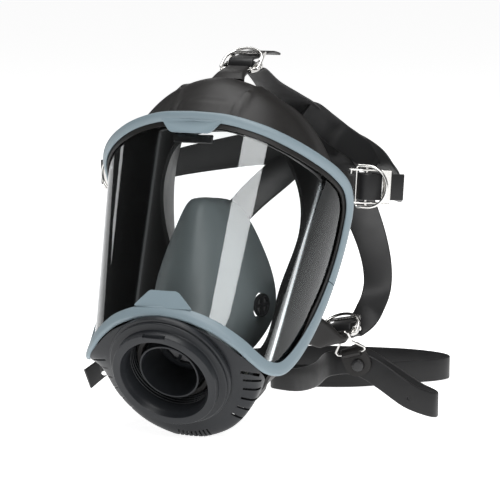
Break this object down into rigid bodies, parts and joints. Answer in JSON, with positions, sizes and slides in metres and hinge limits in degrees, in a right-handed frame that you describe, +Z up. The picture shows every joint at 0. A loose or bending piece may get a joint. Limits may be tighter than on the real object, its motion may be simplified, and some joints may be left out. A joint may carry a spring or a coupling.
{
  "type": "full face respirator",
  "caption": "Full face respirator with a curved clear visor, grey bezel, rubber face seal, round chin inlet, nose cup, buckled head harness and neck strap.",
  "frame": {"origin": "centre of the bounding box, on the plane the mask stands on", "axes": "+Z up, the visor and inlet face -Y, +X to the wearer's left"},
  "size_m": [0.2517, 0.3208, 0.2545],
  "materials": {
    "visor_clear": "clear, polished",
    "bezel_grey": "satin blue-grey",
    "housing_dark": "fine satin, near black",
    "seal_rubber": "matte",
    "harness_rubber": "satin",
    "cup_rubber": "matte grey-green",
    "valve_rubber": "matte",
    "nickel_steel": "polished nickel",
    "black_plastic": "satin black",
    "diaphragm_film": "thin film"
  },
  "bodies": {
    "mask": {"lens": "visor_clear", "bezel_upper": "bezel_grey", "bezel_lower": "bezel_grey", "bezel_screw_left": "nickel_steel", "bezel_screw_right": "nickel_steel", "face_seal": "seal_rubber", "component_housing": "housing_dark", "inlet_ring": "housing_dark", "inlet_sleeve": "housing_dark", "inlet_gasket": "seal_rubber", "inhalation_valve_seat": "housing_dark", "exhalation_valve_seat": "housing_dark", "exhalation_valve_spring": "nickel_steel", "exhalation_spring_keeper": "housing_dark", "speech_diaphragm": "diaphragm_film", "speech_diaphragm_ring": "housing_dark", "nose_cup": "cup_rubber", "nose_cup_valve_seat_left": "black_plastic", "nose_cup_valve_seat_right": "black_plastic", "spectacle_clip": "black_plastic", "head_harness": "harness_rubber", "neck_strap": "harness_rubber", "neck_link_left": "harness_rubber", "neck_link_right": "harness_rubber", "neck_ring_left": "nickel_steel", "neck_ring_right": "nickel_steel", "neck_button_left": "black_plastic", "neck_button_right": "black_plastic", "buckle_frame_top": "nickel_steel", "buckle_pin_top": "nickel_steel", "buckle_frame_temple_left": "nickel_steel", "buckle_pin_temple_left": "nickel_steel", "buckle_frame_temple_right": "nickel_steel", "buckle_pin_temple_right": "nickel_steel", "buckle_frame_cheek_left": "nickel_steel", "buckle_pin_cheek_left": "nickel_steel", "buckle_frame_cheek_right": "nickel_steel", "buckle_pin_cheek_right": "nickel_steel"},
    "bail_top": {"buckle_bail_top": "nickel_steel"},
    "bail_temple_left": {"buckle_bail_temple_left": "nickel_steel"},
    "bail_temple_right": {"buckle_bail_temple_right": "nickel_steel"},
    "bail_cheek_left": {"buckle_bail_cheek_left": "nickel_steel"},
    "bail_cheek_right": {"buckle_bail_cheek_right": "nickel_steel"},
    "roller_top": {"buckle_roller_top": "black_plastic"},
    "roller_temple_left": {"buckle_roller_temple_left": "black_plastic"},
    "roller_temple_right": {"buckle_roller_temple_right": "black_plastic"},
    "roller_cheek_left": {"buckle_roller_cheek_left": "black_plastic"},
    "roller_cheek_right": {"buckle_roller_cheek_right": "black_plastic"},
    "exhalation_valve": {"exhalation_valve_disc": "valve_rubber"},
    "inhalation_valve": {"inhalation_valve_disc": "valve_rubber"},
    "nose_cup_flap_left": {"nose_cup_valve_flap_left": "valve_rubber"},
    "nose_cup_flap_right": {"nose_cup_valve_flap_right": "valve_rubber"}
  },
  "joints": [
    {"name": "bail_top_lift", "type": "hinge", "parent": "mask", "child": "bail_top", "pos_m": [-0.00918, -0.02024, 0.24052], "axis": [1, 0, 0], "range_deg": [0, 75]},
    {"name": "bail_temple_left_lift", "type": "hinge", "parent": "mask", "child": "bail_temple_left", "pos_m": [0.07715, -0.02055, 0.16335], "axis": [-0.04, -0.03, -0.9988], "range_deg": [0, 75]},
    {"name": "bail_temple_right_lift", "type": "hinge", "parent": "mask", "child": "bail_temple_right", "pos_m": [-0.09551, -0.02055, 0.16335], "axis": [-0.04, 0.03, 0.9988], "range_deg": [0, 75]},
    {"name": "bail_cheek_left_lift", "type": "hinge", "parent": "mask", "child": "bail_cheek_left", "pos_m": [0.0594, -0.00434, 0.05727], "axis": [0.9772, 0.0596, 0.2038], "range_deg": [0, 75]},
    {"name": "bail_cheek_right_lift", "type": "hinge", "parent": "mask", "child": "bail_cheek_right", "pos_m": [-0.07776, -0.00434, 0.05727], "axis": [0.9772, -0.0596, -0.2038], "range_deg": [0, 75]},
    {"name": "roller_top_spin", "type": "hinge", "parent": "mask", "child": "roller_top", "pos_m": [-0.00918, -0.0133, 0.242], "axis": [1, 0, 0], "continuous": true},
    {"name": "roller_temple_left_spin", "type": "hinge", "parent": "mask", "child": "roller_temple_left", "pos_m": [0.08282, -0.0163, 0.163], "axis": [-0.04, -0.03, -0.9988], "continuous": true},
    {"name": "roller_temple_right_spin", "type": "hinge", "parent": "mask", "child": "roller_temple_right", "pos_m": [-0.10118, -0.0163, 0.163], "axis": [-0.04, 0.03, 0.9988], "continuous": true},
    {"name": "roller_cheek_left_spin", "type": "hinge", "parent": "mask", "child": "roller_cheek_left", "pos_m": [0.05882, 0.0027, 0.058], "axis": [0.9772, 0.0596, 0.2038], "continuous": true},
    {"name": "roller_cheek_right_spin", "type": "hinge", "parent": "mask", "child": "roller_cheek_right", "pos_m": [-0.07718, 0.0027, 0.058], "axis": [0.9772, -0.0596, -0.2038], "continuous": true},
    {"name": "exhalation_valve_lift", "type": "slide", "parent": "mask", "child": "exhalation_valve", "axis": [0, 0, -1], "range_m": [0, 0.002], "stiffness_N_per_m": 30, "springref_m": -0.0015, "deforming": ["exhalation_valve_spring"]},
    {"name": "inhalation_valve_lift", "type": "slide", "parent": "mask", "child": "inhalation_valve", "axis": [0, 0.891, 0.454], "range_m": [0, 0.0012]},
    {"name": "nose_cup_flap_left_swing", "type": "hinge", "parent": "mask", "child": "nose_cup_flap_left", "pos_m": [0.02744, -0.0701, 0.0928], "axis": [0.2212, 0.9752, 0], "range_deg": [0, 25]},
    {"name": "nose_cup_flap_right_swing", "type": "hinge", "parent": "mask", "child": "nose_cup_flap_right", "pos_m": [-0.0458, -0.0701, 0.0928], "axis": [0.2212, -0.9752, 0], "range_deg": [0, 25]}
  ]
}
